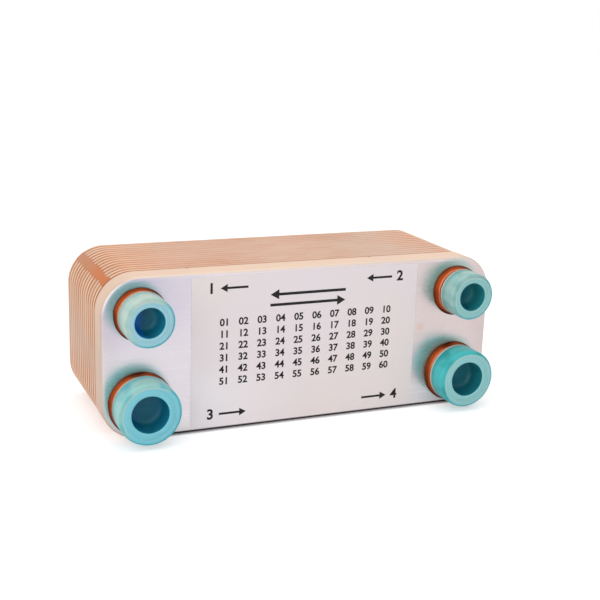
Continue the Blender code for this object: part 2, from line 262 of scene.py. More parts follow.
def colour(value):
    """A colour given in display values from 0 to 255; a socket stays as it is."""
    if isinstance(value, bpy.types.NodeSocket):
        return value
    linear = []
    for part in value:
        share = part / 255
        linear.append(share / 12.92 if share <= 0.04045 else ((share + 0.055) / 1.055) ** 2.4)
    return (*linear, 1.0)


class Nodes:
    """A node tree, its shader if it has one, and a method for each kind of node used here."""

    def __init__(self, tree):
        self.tree = tree
        self.shader = tree.nodes.get("Principled BSDF")

    def add(self, kind, values, **settings):
        """A node whose values are numbers, colours or other nodes' outputs."""
        made = self.tree.nodes.new(kind)
        for name, value in settings.items():
            setattr(made, name, value)
        for socket, value in values.items():
            if isinstance(value, bpy.types.NodeSocket):
                self.tree.links.new(value, made.inputs[socket])
            else:
                made.inputs[socket].default_value = value
        return made

    def maths(self, operation, *values, clamp=False):
        values = dict(enumerate(values))
        return self.add("ShaderNodeMath", values, operation=operation, use_clamp=clamp).outputs[0]

    def times(self, first, second):
        return self.maths("MULTIPLY", first, second)

    def minus(self, first, second):
        return self.maths("SUBTRACT", first, second)

    def gap(self, first, second):
        """How far apart two values are."""
        return self.maths("ABSOLUTE", self.minus(first, second))

    def hypotenuse(self, first, second):
        square = self.maths("ADD", self.times(first, first), self.times(second, second))
        return self.maths("SQRT", square)

    def mix(self, share, first, second, blend="MIX"):
        """Colour first, turning into colour second as share goes from 0 to 1."""
        values = {0: share, 6: colour(first), 7: colour(second)}
        return self.add("ShaderNodeMix", values, data_type="RGBA", blend_type=blend).outputs[2]

    def remap(self, value, low, high, to_low=0.0, to_high=1.0):
        """A smooth step of value from low to high."""
        values = {"Value": value, "From Min": low, "From Max": high, "To Min": to_low, "To Max": to_high}
        return self.add("ShaderNodeMapRange", values, interpolation_type="SMOOTHSTEP").outputs["Result"]

    def point(self):
        """The surface point in its piece's own frame, in metres."""
        return self.add("ShaderNodeTexCoord", {}).outputs["Object"]

    def axes(self):
        split = self.add("ShaderNodeSeparateXYZ", {0: self.point()})
        return split.outputs["X"], split.outputs["Y"], split.outputs["Z"]

    def distance_to(self, centre):
        values = {0: self.point(), 1: centre}
        return self.add("ShaderNodeVectorMath", values, operation="DISTANCE").outputs["Value"]

    def grain(self, scale, detail, roughness):
        """Noise from 0 to 1, with scale in cycles per metre along each axis."""
        values = {0: self.point(), 1: scale}
        stretched = self.add("ShaderNodeVectorMath", values, operation="MULTIPLY").outputs[0]
        values = {"Vector": stretched, "Scale": 1.0, "Detail": detail, "Roughness": roughness}
        return self.add("ShaderNodeTexNoise", values).outputs["Fac"]

    def ramp(self, value, *stops):
        """A colour ramp over value; stops are (position, colour) pairs, from 0 to 1."""
        made = self.add("ShaderNodeValToRGB", {"Fac": value})
        elements = made.color_ramp.elements
        elements[0].color = colour(stops[0][1])
        elements[1].color = colour(stops[-1][1])
        for position, tint in stops[1:-1]:
            elements.new(position).color = colour(tint)
        return made.outputs["Color"]

    def paint(self, base, roughness=None):
        """Give the shader its colour and, where that varies, its roughness."""
        self.tree.links.new(base, self.shader.inputs["Base Color"])
        if roughness is not None:
            self.tree.links.new(roughness, self.shader.inputs["Roughness"])

    def bump(self, height, strength, distance):
        values = {"Height": height, "Strength": strength, "Distance": distance}
        normal = self.add("ShaderNodeBump", values).outputs[0]
        self.tree.links.new(normal, self.shader.inputs["Normal"])


def new_material(name, values):
    """A material and its nodes; values are what is the same all over the surface."""
    material = bpy.data.materials.new(name)
    material.use_nodes = True
    m = Nodes(material.node_tree)
    for socket, value in values.items():
        m.shader.inputs[socket].default_value = value
    return material, m


# Materials ----------


def corner_distance(m, x, z):
    """How far a point of the rim lies from the nearest corner's arc, and its parts along X and Z."""
    along_x = m.minus(HALF_LENGTH - CORNER_RADIUS, m.maths("ABSOLUTE", x))
    along_z = m.minus(HALF_HEIGHT - CORNER_RADIUS, m.gap(z, MIDDLE_Z))
    away_x = m.maths("MAXIMUM", along_x, 0.0)
    away_z = m.maths("MAXIMUM", along_z, 0.0)
    return m.maths("ADD", away_x, away_z), along_x, along_z


def band_share(m, along_x, along_z, middle, half_width, waver):
    """1 in a band across a corner, middle being its angle above the horizontal, 0 outside it."""
    out_x = m.maths("MAXIMUM", m.times(along_x, -1.0), 0.0)
    out_z = m.maths("MAXIMUM", m.times(along_z, -1.0), 0.0)
    angle = m.maths("ARCTAN2", out_z, out_x)
    off = m.maths("MULTIPLY_ADD", m.minus(waver, 0.5), half_width * 1.2, m.gap(angle, middle))
    return m.remap(off, half_width * 1.1, half_width * 0.7)


def cover_steel():
    """Satin stainless sheet, cool on the face and warmed by copper vapour towards its rim, with painted
    reflection, shade and light in places.
    """
    material, m = new_material("cover_steel", {"Metallic": 1.0})
    x, y, z = m.axes()
    cloud = m.grain((22.0, 22.0, 30.0), 4.0, 0.6)
    cool = m.mix(m.remap(x, -HALF_LENGTH, HALF_LENGTH), (236, 230, 236), (230, 213, 211))
    upper = m.remap(z, MIDDLE_Z - 5 * MM, MIDDLE_Z + HALF_HEIGHT)
    # Painted reflection: the face darker and bluer towards its upper left
    upper_left_reflection = m.times(upper, m.remap(x, -HALF_LENGTH * 0.4, -HALF_LENGTH))
    cool = m.mix(upper_left_reflection, cool, (176, 170, 206))
    # Painted light: the face lighter near its bottom edge
    cool = m.mix(m.remap(z, 18 * MM, 4 * MM), cool, (244, 238, 240))
    end = m.remap(m.maths("ABSOLUTE", x), HALF_LENGTH - 14 * MM, HALF_LENGTH - 3 * MM, 0.0, 0.3)
    cool = m.mix(end, cool, (206, 190, 190))
    smoky = m.mix(m.remap(cloud, 0.45, 0.8, 0.0, 0.6), cool, (232, 225, 228))
    smudge = m.remap(m.distance_to(SMUDGE), SMUDGE_RADIUS, SMUDGE_RADIUS * 0.2, 0.0, 0.4)
    smoky = m.mix(smudge, smoky, (230, 188, 152))
    # Painted reflection and shadow of each teal cap on the face round its port
    for sizes in SIZES.values():
        centre = (sizes["centre"][0] - CAP_REFLECTION_SHIFT, FACE_Y, sizes["centre"][1] + CAP_REFLECTION_SHIFT)
        wander = m.maths("MULTIPLY_ADD", cloud, 2 * MM, m.distance_to(centre))
        reach = sizes["foot"] + CAP_REFLECTION_REACH
        tint = m.remap(wander, reach, sizes["foot"] - 1 * MM, 0.0, CAP_REFLECTION_STRENGTH)
        smoky = m.mix(tint, smoky, (88, 182, 172))
    behind = m.minus(y, FACE_Y)
    warm = m.remap(behind, 0.0, LIP_RADIUS * 0.3)
    rim = m.mix(m.remap(cloud, 0.3, 0.7), (224, 199, 178), (216, 191, 173))
    # Painted light: the rim lighter and warmer towards its top
    rim = m.mix(m.times(upper, 0.5), rim, (236, 206, 181))
    # Painted shade: the rolled lip darker than the rim, dimming its highlight
    lip = m.remap(behind, LIP_RADIUS, LIP_RADIUS * 0.4, 0.0, 0.9)
    rim = m.mix(lip, rim, (208, 192, 178))
    # Painted shade on the upper left of the lip, dimming the lamp's highlight there
    glare = m.remap(x, -HALF_LENGTH + GLARE_START, -HALF_LENGTH + GLARE_FULL)
    glare = m.times(m.times(lip, glare), upper)
    rim = m.mix(glare, rim, (194, 173, 158))
    # Darker and coppery at the rim's back edge: braze copper at the joint, with painted shade where the
    # first plate tucks in
    seam = m.remap(behind, RIM_DEPTH - 1.0 * MM, RIM_DEPTH - 0.1 * MM)
    rim = m.mix(seam, rim, (208, 162, 130))
    for place_x in SEAM_MARKS:
        mark = m.times(m.remap(m.gap(x, place_x), 1.1 * MM, 0.4 * MM), upper)
        back = m.remap(behind, RIM_DEPTH - 1.6 * MM, RIM_DEPTH - 0.8 * MM)
        rim = m.mix(m.times(mark, back), rim, (176, 128, 98))
    rolled = m.grain((18.0, 900.0, 900.0), 2.0, 0.6)
    base = m.mix(warm, smoky, rim)
    base = m.mix(m.times(rolled, 0.1), base, (168, 160, 165))
    # Painted shade: the underside of the lip dark, next to the floor
    lip_underside_shade = m.remap(z, LIP_RADIUS * 0.9, LIP_RADIUS * 0.55)
    lip_underside_shade = m.times(lip_underside_shade, m.remap(behind, LIP_RADIUS * 1.3, LIP_RADIUS * 0.9))
    base = m.mix(lip_underside_shade, base, (82, 66, 62))
    satin = m.remap(behind, 0.0, LIP_RADIUS * 0.4, 0.25, 0.5)
    m.paint(base, m.maths("MULTIPLY_ADD", rolled, 0.06, satin))
    m.bump(rolled, 0.02, 0.02 * MM)
    return material


def brazed_steel():
    """Plate rims with a wash of copper: rosy on the slopes, orange in the seams and corners, with
    painted shade in each seam and a painted highlight on each free edge.
    """
    material, m = new_material("brazed_steel", {"Metallic": 1.0})
    x, y, z = m.axes()
    distance, along_x, along_z = corner_distance(m, x, z)
    seam_y = m.minus(y, FACE_Y + RIM_DEPTH)
    turn = m.maths("FRACT", m.maths("DIVIDE", seam_y, PLATE_PITCH))
    streak = m.grain((26.0, 260.0, 26.0), 3.0, 0.6)
    patch = m.grain((20.0, 34.0, 20.0), 4.0, 0.55)
    waver = m.grain((70.0, 110.0, 70.0), 3.0, 0.6)
    pool = band_share(m, along_x, along_z, POOL_ANGLE, POOL_HALF_WIDTH, waver)
    stain = band_share(m, along_x, along_z, STAIN_ANGLE, STAIN_HALF_WIDTH, waver)
    lower = m.remap(z, MIDDLE_Z + 12 * MM, MIDDLE_Z - HALF_HEIGHT)
    rosy = m.mix(lower, (210, 176, 152), (202, 184, 177))
    far_end = m.remap(x, HALF_LENGTH * 0.1, HALF_LENGTH * 0.9)
    rosy = m.mix(far_end, rosy, (202, 194, 180))
    bloom = m.remap(patch, 0.48, 0.72, 0.0, 0.7)
    slope = m.mix(bloom, rosy, (203, 156, 124))
    slope = m.mix(m.remap(streak, 0.5, 0.8, 0.0, 0.6), slope, (217, 200, 184))
    slope = m.mix(m.times(far_end, 0.45), slope, (206, 188, 172))
    # Painted shade just behind each free edge, where the next rim comes out of the seam
    plain = m.ramp(
        turn,
        (0.0, (176, 126, 96)),
        (0.4, (206, 172, 150)),
        (0.62, (255, 255, 255)),
        (1.0, (255, 255, 255)),
    )
    faint = m.times(m.remap(patch, 0.3, 0.6), 0.8)
    shade = m.mix(faint, slope, plain, "MULTIPLY")
    # Painted highlight along each rim's free edge
    edge = m.mix(m.remap(turn, 0.86, 0.97, 0.0, 0.6), shade, (232, 215, 198))
    # Near the corners: copper in the seams with painted shade there, and a painted highlight on each
    # free edge
    ribbed_copper_and_shade = m.ramp(
        turn,
        (0.0, (130, 66, 32)),
        (0.34, (158, 92, 54)),
        (0.5, (202, 128, 82)),
        (0.7, (214, 150, 106)),
        (0.82, (242, 210, 178)),
        (1.0, (252, 234, 212)),
    )
    near = m.remap(distance, 42 * MM, -6 * MM)
    uneven = m.times(near, m.remap(streak, 0.3, 0.6, 0.45, 1.0))
    base = m.mix(uneven, edge, ribbed_copper_and_shade)
    base = m.mix(m.times(stain, 0.35), base, (214, 152, 119))
    pooled = m.mix(m.remap(patch, 0.35, 0.65), (208, 106, 16), (204, 123, 46))
    pooled = m.mix(m.remap(seam_y, 10 * MM, 50 * MM, 0.0, 0.8), pooled, (196, 136, 98))
    cover = m.remap(m.maths("ADD", streak, waver), 0.55, 0.9, 0.72, 0.96)
    base = m.mix(m.times(pool, cover), base, pooled)
    # Painted shade in the seam right behind the front cover's rim
    first = m.remap(seam_y, 3.2 * MM, 2.3 * MM, 0.0, 0.7)
    base = m.mix(first, base, (138, 84, 56))
    m.paint(base, m.remap(patch, 0.2, 0.8, 0.34, 0.46))
    m.bump(m.maths("ADD", streak, patch), 0.2, 0.05 * MM)
    return material


def plain_steel(name, tint):
    """Mill-finished sheet for what lies inside or behind."""
    material, m = new_material(name, {"Metallic": 1.0})
    cloud = m.grain((26.0, 26.0, 26.0), 4.0, 0.6)
    rolled = m.grain((14.0, 800.0, 800.0), 2.0, 0.6)
    base = m.mix(m.remap(cloud, 0.3, 0.7), tint, (224, 196, 178))
    base = m.mix(m.times(rolled, 0.15), base, (150, 140, 138))
    m.paint(base, m.maths("MULTIPLY_ADD", rolled, 0.1, 0.3))
    m.bump(rolled, 0.15, 0.02 * MM)
    return material


def port_radius(m):
    """Distance from a port's axis, and height above the cover's face."""
    x, y, z = m.axes()
    return m.hypotenuse(x, z), m.times(y, -1.0)


def braze_copper():
    """Frozen braze: dark and red at its foot, partly as painted shade where it meets the face, and
    bright where it climbs the fitting.
    """
    material, m = new_material("braze_copper", {"Metallic": 1.0})
    _, height = port_radius(m)
    cloud = m.grain((160.0, 160.0, 160.0), 3.0, 0.6)
    wander = m.maths("MULTIPLY_ADD", cloud, 0.7 * MM, height)
    # Darker towards the foot: copper colour, with painted shade where the bead meets the face
    base = m.ramp(
        m.remap(wander, 0.0, 4.2 * MM),
        (0.0, (70, 34, 16)),
        (0.28, (116, 50, 22)),
        (0.46, (150, 64, 26)),
        (0.75, (168, 78, 40)),
        (1.0, (208, 128, 92)),
    )
    base = m.mix(m.remap(cloud, 0.55, 0.8, 0.0, 0.6), base, (136, 56, 26))
    m.paint(base, m.remap(cloud, 0.2, 0.8, 0.28, 0.45))
    m.bump(cloud, 0.3, 0.1 * MM)
    return material


def fitting_steel():
    """Turned stainless with a fine lathe mark."""
    material, m = new_material("fitting_steel", {"Metallic": 1.0})
    turned = m.grain((40.0, 4000.0, 40.0), 2.0, 0.5)
    cloud = m.grain((150.0, 150.0, 150.0), 3.0, 0.5)
    base = m.mix(m.remap(cloud, 0.35, 0.75), (228, 220, 214), (222, 200, 184))
    base = m.mix(m.times(turned, 0.2), base, (150, 144, 140))
    m.paint(base, m.remap(turned, 0.2, 0.8, 0.22, 0.34))
    m.bump(turned, 0.2, 0.02 * MM)
    return material


def cap_plastic(name, sizes, foot, light, deep, end, cup_shade_left, cup_shade_right):
    """Tinted translucent plastic: painted shade deeper at its lower right edge, a painted highlight as a
    pale arc at its upper left, and painted shade dark inside the cup."""
    recess = sizes["bore"] - CAP_FIT_GAP - CAP_CUP_WALL
    outer = sizes["cap"]
    reach = sizes["cap_reach"]
    values = {
        "Transmission Weight": 0.12,
        "Roughness": 0.3,
        "IOR": 1.5,
        "Specular IOR Level": 0.2,
        "Subsurface Weight": 0.6,
        "Subsurface Scale": 2.0 * MM,
        "Subsurface Radius": (0.4, 0.9, 1.0),
    }
    material, m = new_material(name, values)
    x, _, z = m.axes()
    radius, height = port_radius(m)
    cloud = m.grain((85.0, 40.0, 85.0), 2.0, 0.5)
    coil = m.grain((30.0, 520.0, 30.0), 2.0, 0.5)
    wall = m.mix(m.remap(cloud, 0.36, 0.64), light, deep)
    wall = m.mix(m.remap(coil, 0.45, 0.7, 0.0, 0.2), wall, deep)
    rear = sizes["cap_rear"]
    wall = m.mix(m.remap(height, rear + 6 * MM, rear + 1 * MM, 0.0, 0.6), wall, deep)
    wander = m.maths("MULTIPLY_ADD", cloud, -1.2 * MM, height)
    hem = m.remap(wander, rear + 1.0 * MM, rear + 0.2 * MM)
    wall = m.mix(hem, wall, foot)
    # Painted light: the end's colour stops short of the edge at its upper left, where the lit wall
    # colour carries over
    slant = m.minus(x, z)
    border = m.remap(slant, -outer * 0.9, outer * 0.9, outer - CAP_EDGE_WIDTH, outer)
    flat = m.remap(m.minus(radius, border), 0.4 * MM, -0.6 * MM)
    front = m.remap(height, reach - CAP_EDGE_DROP * 1.3, reach - CAP_EDGE_DROP * 0.7)
    shown = m.mix(m.times(flat, front), wall, end)
    # Painted highlight: a pale arc on the end's edge at its upper left
    arc = m.times(m.remap(m.gap(radius, border), 0.7 * MM, 0.1 * MM, 0.0, 0.6), front)
    arc = m.times(arc, m.remap(slant, outer * 0.4, -outer * 0.6))
    shown = m.mix(arc, shown, (208, 238, 236))
    # Painted shade: a deeper teal rim on the end's edge at its lower right
    lower_right_shade = m.remap(slant, -outer * 0.5, outer * 1.2)
    rim = m.remap(radius, outer - 1.5 * MM, outer - 0.4 * MM)
    turned = m.remap(height, reach - CAP_EDGE_DROP * 3.0, reach - CAP_EDGE_DROP * 2.0)
    rim = m.times(m.times(rim, turned), lower_right_shade)
    shown = m.mix(rim, shown, (40, 184, 200))
    # Painted shade inside the cup, changing from left to right
    inside = m.remap(radius, recess + 0.3 * MM, recess)
    painted_cup_shade = m.ramp(
        m.remap(x, -recess, recess),
        (0.0, cup_shade_left),
        (0.2, cup_shade_left),
        (0.5, (28, 126, 146)),
        (1.0, cup_shade_right),
    )
    mouth = m.remap(height, reach - 0.05 * MM, reach - 0.5 * MM)
    base = m.mix(m.times(inside, mouth), shown, painted_cup_shade)
    m.paint(base)
    m.bump(cloud, 0.08, 0.1 * MM)
    return material


def label_paper():
    """Satin label stock with faint fibres, and painted light that makes it palest at its lower left."""
    material, m = new_material("label_paper", {"Specular IOR Level": 0.3})
    fibre = m.grain((900.0, 900.0, 900.0), 4.0, 0.7)
    cloud = m.grain((18.0, 18.0, 18.0), 3.0, 0.5)
    base = m.mix(m.remap(cloud, 0.3, 0.7), (242, 233, 237), (244, 233, 231))
    x, _, z = m.axes()
    # Painted light: the label paler towards its lower left
    pale = m.times(m.remap(x, 0.0, -60 * MM), m.remap(z, MIDDLE_Z, 15 * MM))
    base = m.mix(pale, base, (252, 246, 249))
    base = m.mix(m.times(fibre, 0.12), base, (214, 204, 206))
    m.paint(base, m.remap(fibre, 0.2, 0.8, 0.42, 0.55))
    m.bump(fibre, 0.1, 0.02 * MM)
    return material


def print_ink():
    """Black print, slightly uneven."""
    material, m = new_material("print_ink", {"Specular IOR Level": 0.3})
    speck = m.grain((1500.0, 1500.0, 1500.0), 2.0, 0.5)
    base = m.mix(m.remap(speck, 0.5, 0.8), (22, 18, 20), (46, 40, 42))
    m.paint(base, m.remap(speck, 0.3, 0.7, 0.35, 0.5))
    return material


# Mesh helpers ----------


def new_object(name, data):
    made = bpy.data.objects.new(name, data)
    bpy.context.scene.collection.objects.link(made)
    return made


def finish_mesh(mesh, name, sharp_degrees=35.0):
    """Store a mesh as an object in the scene, smooth except at its sharp edges."""
    bmesh.ops.recalc_face_normals(mesh, faces=mesh.faces)
    mesh.edges.index_update()
    borders = {edge.index for edge in mesh.edges if edge.is_boundary}
    data = bpy.data.meshes.new(name)
    mesh.to_mesh(data)
    mesh.free()
    data.shade_smooth()
    data.set_sharp_from_angle(angle=math.radians(sharp_degrees))
    for edge in data.edges:
        if edge.index in borders:
            edge.use_edge_sharp = True
    return new_object(name, data)


def skin(mesh, rings, closed=False):
    """Quads between each ring of vertices and the next."""
    pairs = list(zip(rings, rings[1:]))
    if closed:
        pairs.append((rings[-1], rings[0]))
    for near, far in pairs:
        for i in range(len(near)):
            mesh.faces.new((near[i - 1], near[i], far[i], far[i - 1]))


def ring_edges(mesh, ring):
    """The edges of a ring of vertices, made where they don't exist yet."""
    edges = []
    for i in range(len(ring)):
        pair = (ring[i - 1], ring[i])
        edges.append(mesh.edges.get(pair) or mesh.edges.new(pair))
    return edges


def fill(mesh, rings):
    """Fill a flat face between an outer ring and the rings of its holes."""
    edges = []
    for ring in rings:
        edges += ring_edges(mesh, ring)
    bmesh.ops.triangle_fill(mesh, edges=edges, use_beauty=True, normal=(0, -1, 0))


def thicken(piece, thickness):
    """Give an open front surface its sheet thickness, behind it."""
    shell = piece.modifiers.new("Sheet", "SOLIDIFY")
    shell.thickness = thickness
    shell.offset = -1
    shell.use_even_offset = True


def face_forward(piece):
    """Turn an open surface so that its foremost face looks out of the front."""
    mesh = bmesh.new()
    mesh.from_mesh(piece.data)
    foremost = min(mesh.faces, key=lambda face: face.calc_center_median().y)
    if foremost.normal.y > 0:
        bmesh.ops.reverse_faces(mesh, faces=mesh.faces)
    mesh.to_mesh(piece.data)
    mesh.free()


def dress(piece, material, body, slot, *nodes):
    """Give a piece its material, its body and the nodes that it stands for."""
    piece.data.materials.clear()
    piece.data.materials.append(material)
    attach(piece, body)
    if nodes:
        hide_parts(*nodes)


# Body ----------


def body_stations():
    """Stations round the body: an arc's centre, the outward direction and the share of pooled
    copper there."""
    stations = []
    corner_x = HALF_LENGTH - CORNER_RADIUS
    corner_z = HALF_HEIGHT - CORNER_RADIUS
    sides = ((1, 1), (-1, 1), (-1, -1), (1, -1))
    for quarter, (side_x, side_z) in enumerate(sides):
        centre = Vector((side_x * corner_x, 0, MIDDLE_Z + side_z * corner_z))
        for step in range(CORNER_STEPS + 1):
            angle = (quarter + step / CORNER_STEPS) * math.pi / 2
            outward = Vector((math.cos(angle), 0, math.sin(angle)))
            slope = math.atan2(abs(outward.z), abs(outward.x))
            off = abs(slope - POOL_ANGLE) / POOL_HALF_WIDTH
            stations.append((centre, outward, max(0.0, 1.0 - off * off)))
        next_x, next_z = sides[(quarter + 1) % 4]
        following = Vector((next_x * corner_x, 0, MIDDLE_Z + next_z * corner_z))
        steps = LONG_STEPS if next_z == side_z else SHORT_STEPS
        for step in range(1, steps):
            stations.append((centre.lerp(following, step / steps), outward, 0.0))
    return stations


STATIONS = body_stations()


def body_ring(mesh, inset, depth, turned=False):
    """A ring round the body; inset is a number or a function of a station."""
    ring = []
    for station in STATIONS:
        centre, outward, _ = station
        pulled = inset(station) if callable(inset) else inset
        point = centre + outward * (CORNER_RADIUS - pulled)
        if turned:
            point = Vector((-point.x, 0, 2 * MIDDLE_Z - point.z))
        ring.append(mesh.verts.new((point.x, FACE_Y + depth, point.z)))
    return ring


def circle_ring(mesh, centre, radius, depth, steps):
    """A ring round a port, centre being its (x, z)."""
    ring = []
    for step in range(steps):
        angle = 2 * math.pi * step / steps
        x = centre[0] + radius * math.cos(angle)
        z = centre[1] + radius * math.sin(angle)
        ring.append(mesh.verts.new((x, FACE_Y + depth, z)))
    return ring


def port_sizes(port):
    """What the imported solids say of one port, heights being above the cover's face."""
    low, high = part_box(port + "_fitting")
    cap_low, cap_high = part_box(port + "_cap")
    fillet_low, fillet_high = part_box(port + "_braze_fillet")
    x = (low.x + high.x) / 2
    z = (low.z + high.z) / 2
    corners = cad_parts[port + "_fitting"].data.vertices
    bore = min(math.hypot(corner.co.x - x, corner.co.z - z) for corner in corners)
    return {
        "centre": (x, z),
        "kind": port.split("_")[0],
        "thread": (high.x - low.x) / 2,
        "bore": bore,
        "reach": FACE_Y - low.y,
        "root": FACE_Y - high.y,
        "cap": (cap_high.x - cap_low.x) / 2,
        "cap_reach": FACE_Y - cap_low.y,
        "cap_rear": FACE_Y - cap_high.y,
        "foot": (fillet_high.x - fillet_low.x) / 2,
        "fillet": FACE_Y - fillet_low.y,
    }


SIZES = {port: port_sizes(port) for port in PORTS}


def make_cover(material):
    """Front cover: flat face with four holes, a rolled lip and a straight rim."""
    mesh = bmesh.new()
    rings = [body_ring(mesh, LIP_RADIUS + FLAT_MARGIN, 0.0)]
    for step in range(LIP_STEPS + 1):
        angle = step / LIP_STEPS * math.pi / 2
        inset = LIP_RADIUS * (1 - math.sin(angle))
        rings.append(body_ring(mesh, inset, LIP_RADIUS * (1 - math.cos(angle))))
    rings.append(body_ring(mesh, 0.0, RIM_DEPTH / 2))
    rings.append(body_ring(mesh, 0.0, RIM_DEPTH))
    skin(mesh, rings)
    loops = [rings[0]]
    for sizes in SIZES.values():
        hole = sizes["bore"] + SPIGOT_WALL + SPIGOT_GAP
        border = circle_ring(mesh, sizes["centre"], hole + FLAT_MARGIN, 0.0, ROUND_STEPS)
        skin(mesh, [circle_ring(mesh, sizes["centre"], hole, 0.0, ROUND_STEPS), border])
        loops.append(border)
    fill(mesh, loops)
    piece = finish_mesh(mesh, "front_cover_pressing")
    face_forward(piece)
    thicken(piece, COVER_SHEET)
    dress(piece, material, "chiller", "cover_steel", "front_cover")


def rim_inset(depth):
    """How far a channel plate's flared rim lies inside the body's outline."""
    return PLATE_EDGE_INSET + (RIM_DEPTH - depth) * FLARE


def seam_inset(depth):
    """The rim with the copper that fills the corner behind the previous rim's edge."""
    share = min(1.0, max(0.0, (depth - SEAM_DEPTH) / SEAM_RUN))
    start = PLATE_EDGE_INSET + PLATE_SHEET
    filled = start + share * (rim_inset(SEAM_DEPTH + SEAM_RUN) - start)
    return min(rim_inset(depth), filled + SEAM_SAG * math.sin(math.pi * share))


def rim_ring(mesh, number, depth, roll=0.0, turned=False):
    """A ring of a plate's visible rim, uneven along its edge and flush where copper pooled."""
    def inset(station):
        centre, outward, pool = station
        spot = centre + outward * CORNER_RADIUS
        spot.y = number * RIM_DEPTH
        wave = noise.noise(spot / EDGE_WAVE_LENGTH) * EDGE_WAVE
        plain = seam_inset(depth) + roll + wave
        flush = PLATE_EDGE_INSET + POOL_INSET + roll
        return plain + (flush - plain) * min(1.0, POOL_SPREAD * pool)

    return body_ring(mesh, inset, FIRST_PLATE_Y - FACE_Y + number * PLATE_PITCH + depth, turned)


def chevron_field(mesh, plate_depth):
    """The herringbone, flat at its border; returns the ring round it."""
    port_x = SIZES["wort_in"]["centre"][0]
    port_z = SIZES["wort_in"]["centre"][1] - MIDDLE_Z
    lean = 1 / math.tan(CHEVRON_ANGLE)
    clearance = (DUCT_RADIUS + DISH_WIDTH + FIELD_MARGIN) * math.hypot(1, lean)
    left = -port_x + clearance + lean * port_z
    right = port_x - clearance + lean * port_z
    ridges = max(1, round((right - left) / RIDGE_PITCH))
    columns = ridges * RIDGE_STEPS
    border = HALF_HEIGHT - PLATE_EDGE_INSET - RIM_DEPTH * FLARE - EDGE_MARGIN
    rows = [-border + share * RIDGE_RUNOUT for share in RUNOUT_SHARES]
    rows += [-(border - RIDGE_RUNOUT) * (1 - share) for share in RUNOUT_SHARES[1:-1]]
    rows += [0.0] + [-row for row in reversed(rows)]
    grid = []
    for z in rows:
        fade = min(1.0, (border - abs(z)) / RIDGE_RUNOUT)
        line = []
        for column in range(columns + 1):
            x = left + (right - left) * column / columns - lean * abs(z)
            swell = (1 - math.cos(2 * math.pi * column / RIDGE_STEPS)) / 2
            relief = RELIEF_LIMIT * swell * fade * fade * (3 - 2 * fade)
            line.append(mesh.verts.new((x, FACE_Y + plate_depth + relief, MIDDLE_Z + z)))
        grid.append(line)
    for low, high in zip(grid, grid[1:]):
        for i in range(columns):
            mesh.faces.new((low[i], low[i + 1], high[i + 1], high[i]))
    left_side = [line[0] for line in grid]
    right_side = [line[-1] for line in grid]
    return grid[0] + right_side[1:] + grid[-1][-2::-1] + left_side[-2:0:-1]


def make_plate(number, material):
    """One channel plate: herringbone, two dished and two level ports, and its flared rim."""
    plate_depth = FIRST_PLATE_Y - FACE_Y + number * PLATE_PITCH
    turned = number % 2 == 1
    mesh = bmesh.new()
    loops = [chevron_field(mesh, plate_depth)]
    for sizes in SIZES.values():
        if sizes["kind"] == "water":
            loops.append(circle_ring(mesh, sizes["centre"], DUCT_RADIUS, plate_depth, DUCT_STEPS))
            continue
        rings = []
        for step in range(BEND_STEPS + 1):
            share = step / BEND_STEPS
            drop = RELIEF_LIMIT * share * share * (3 - 2 * share)
            radius = DUCT_RADIUS + DISH_WIDTH * (1 - share)
            rings.append(circle_ring(mesh, sizes["centre"], radius, plate_depth + drop, DUCT_STEPS))
        skin(mesh, rings)
        loops.append(rings[0])
    rings = [body_ring(mesh, rim_inset(PLATE_BEND) + PLATE_BEND + FLAT_MARGIN, plate_depth, turned)]
    for step in range(BEND_STEPS + 1):
        angle = step / BEND_STEPS * math.pi / 2
        inset = rim_inset(PLATE_BEND) + PLATE_BEND * (1 - math.sin(angle))
        depth = PLATE_BEND * (1 - math.cos(angle))
        rings.append(body_ring(mesh, inset, plate_depth + depth, turned))
    hidden = SEAM_DEPTH - SEAM_TUCK
    rings.append(body_ring(mesh, rim_inset(hidden), plate_depth + hidden, turned))
    for share in RUNOUT_SHARES:
        rings.append(rim_ring(mesh, number, SEAM_DEPTH + share * SEAM_RUN, turned=turned))
    slope = RIM_DEPTH - SEAM_DEPTH - SEAM_RUN
    for share in RIM_SHARES:
        rings.append(rim_ring(mesh, number, RIM_DEPTH - (1 - share) * slope, turned=turned))
    rings.append(rim_ring(mesh, number, RIM_DEPTH, EDGE_ROLL, turned))
    skin(mesh, rings)
    fill(mesh, [rings[0], *loops])
    if turned:
        for corner in mesh.verts:
            corner.co.x *= -1
            corner.co.z = 2 * MIDDLE_Z - corner.co.z
    name = PLATES[number]
    piece = finish_mesh(mesh, name + "_pressing")
    face_forward(piece)
    thicken(piece, PLATE_SHEET)
    dress(piece, material, "chiller", "plate_steel", name)


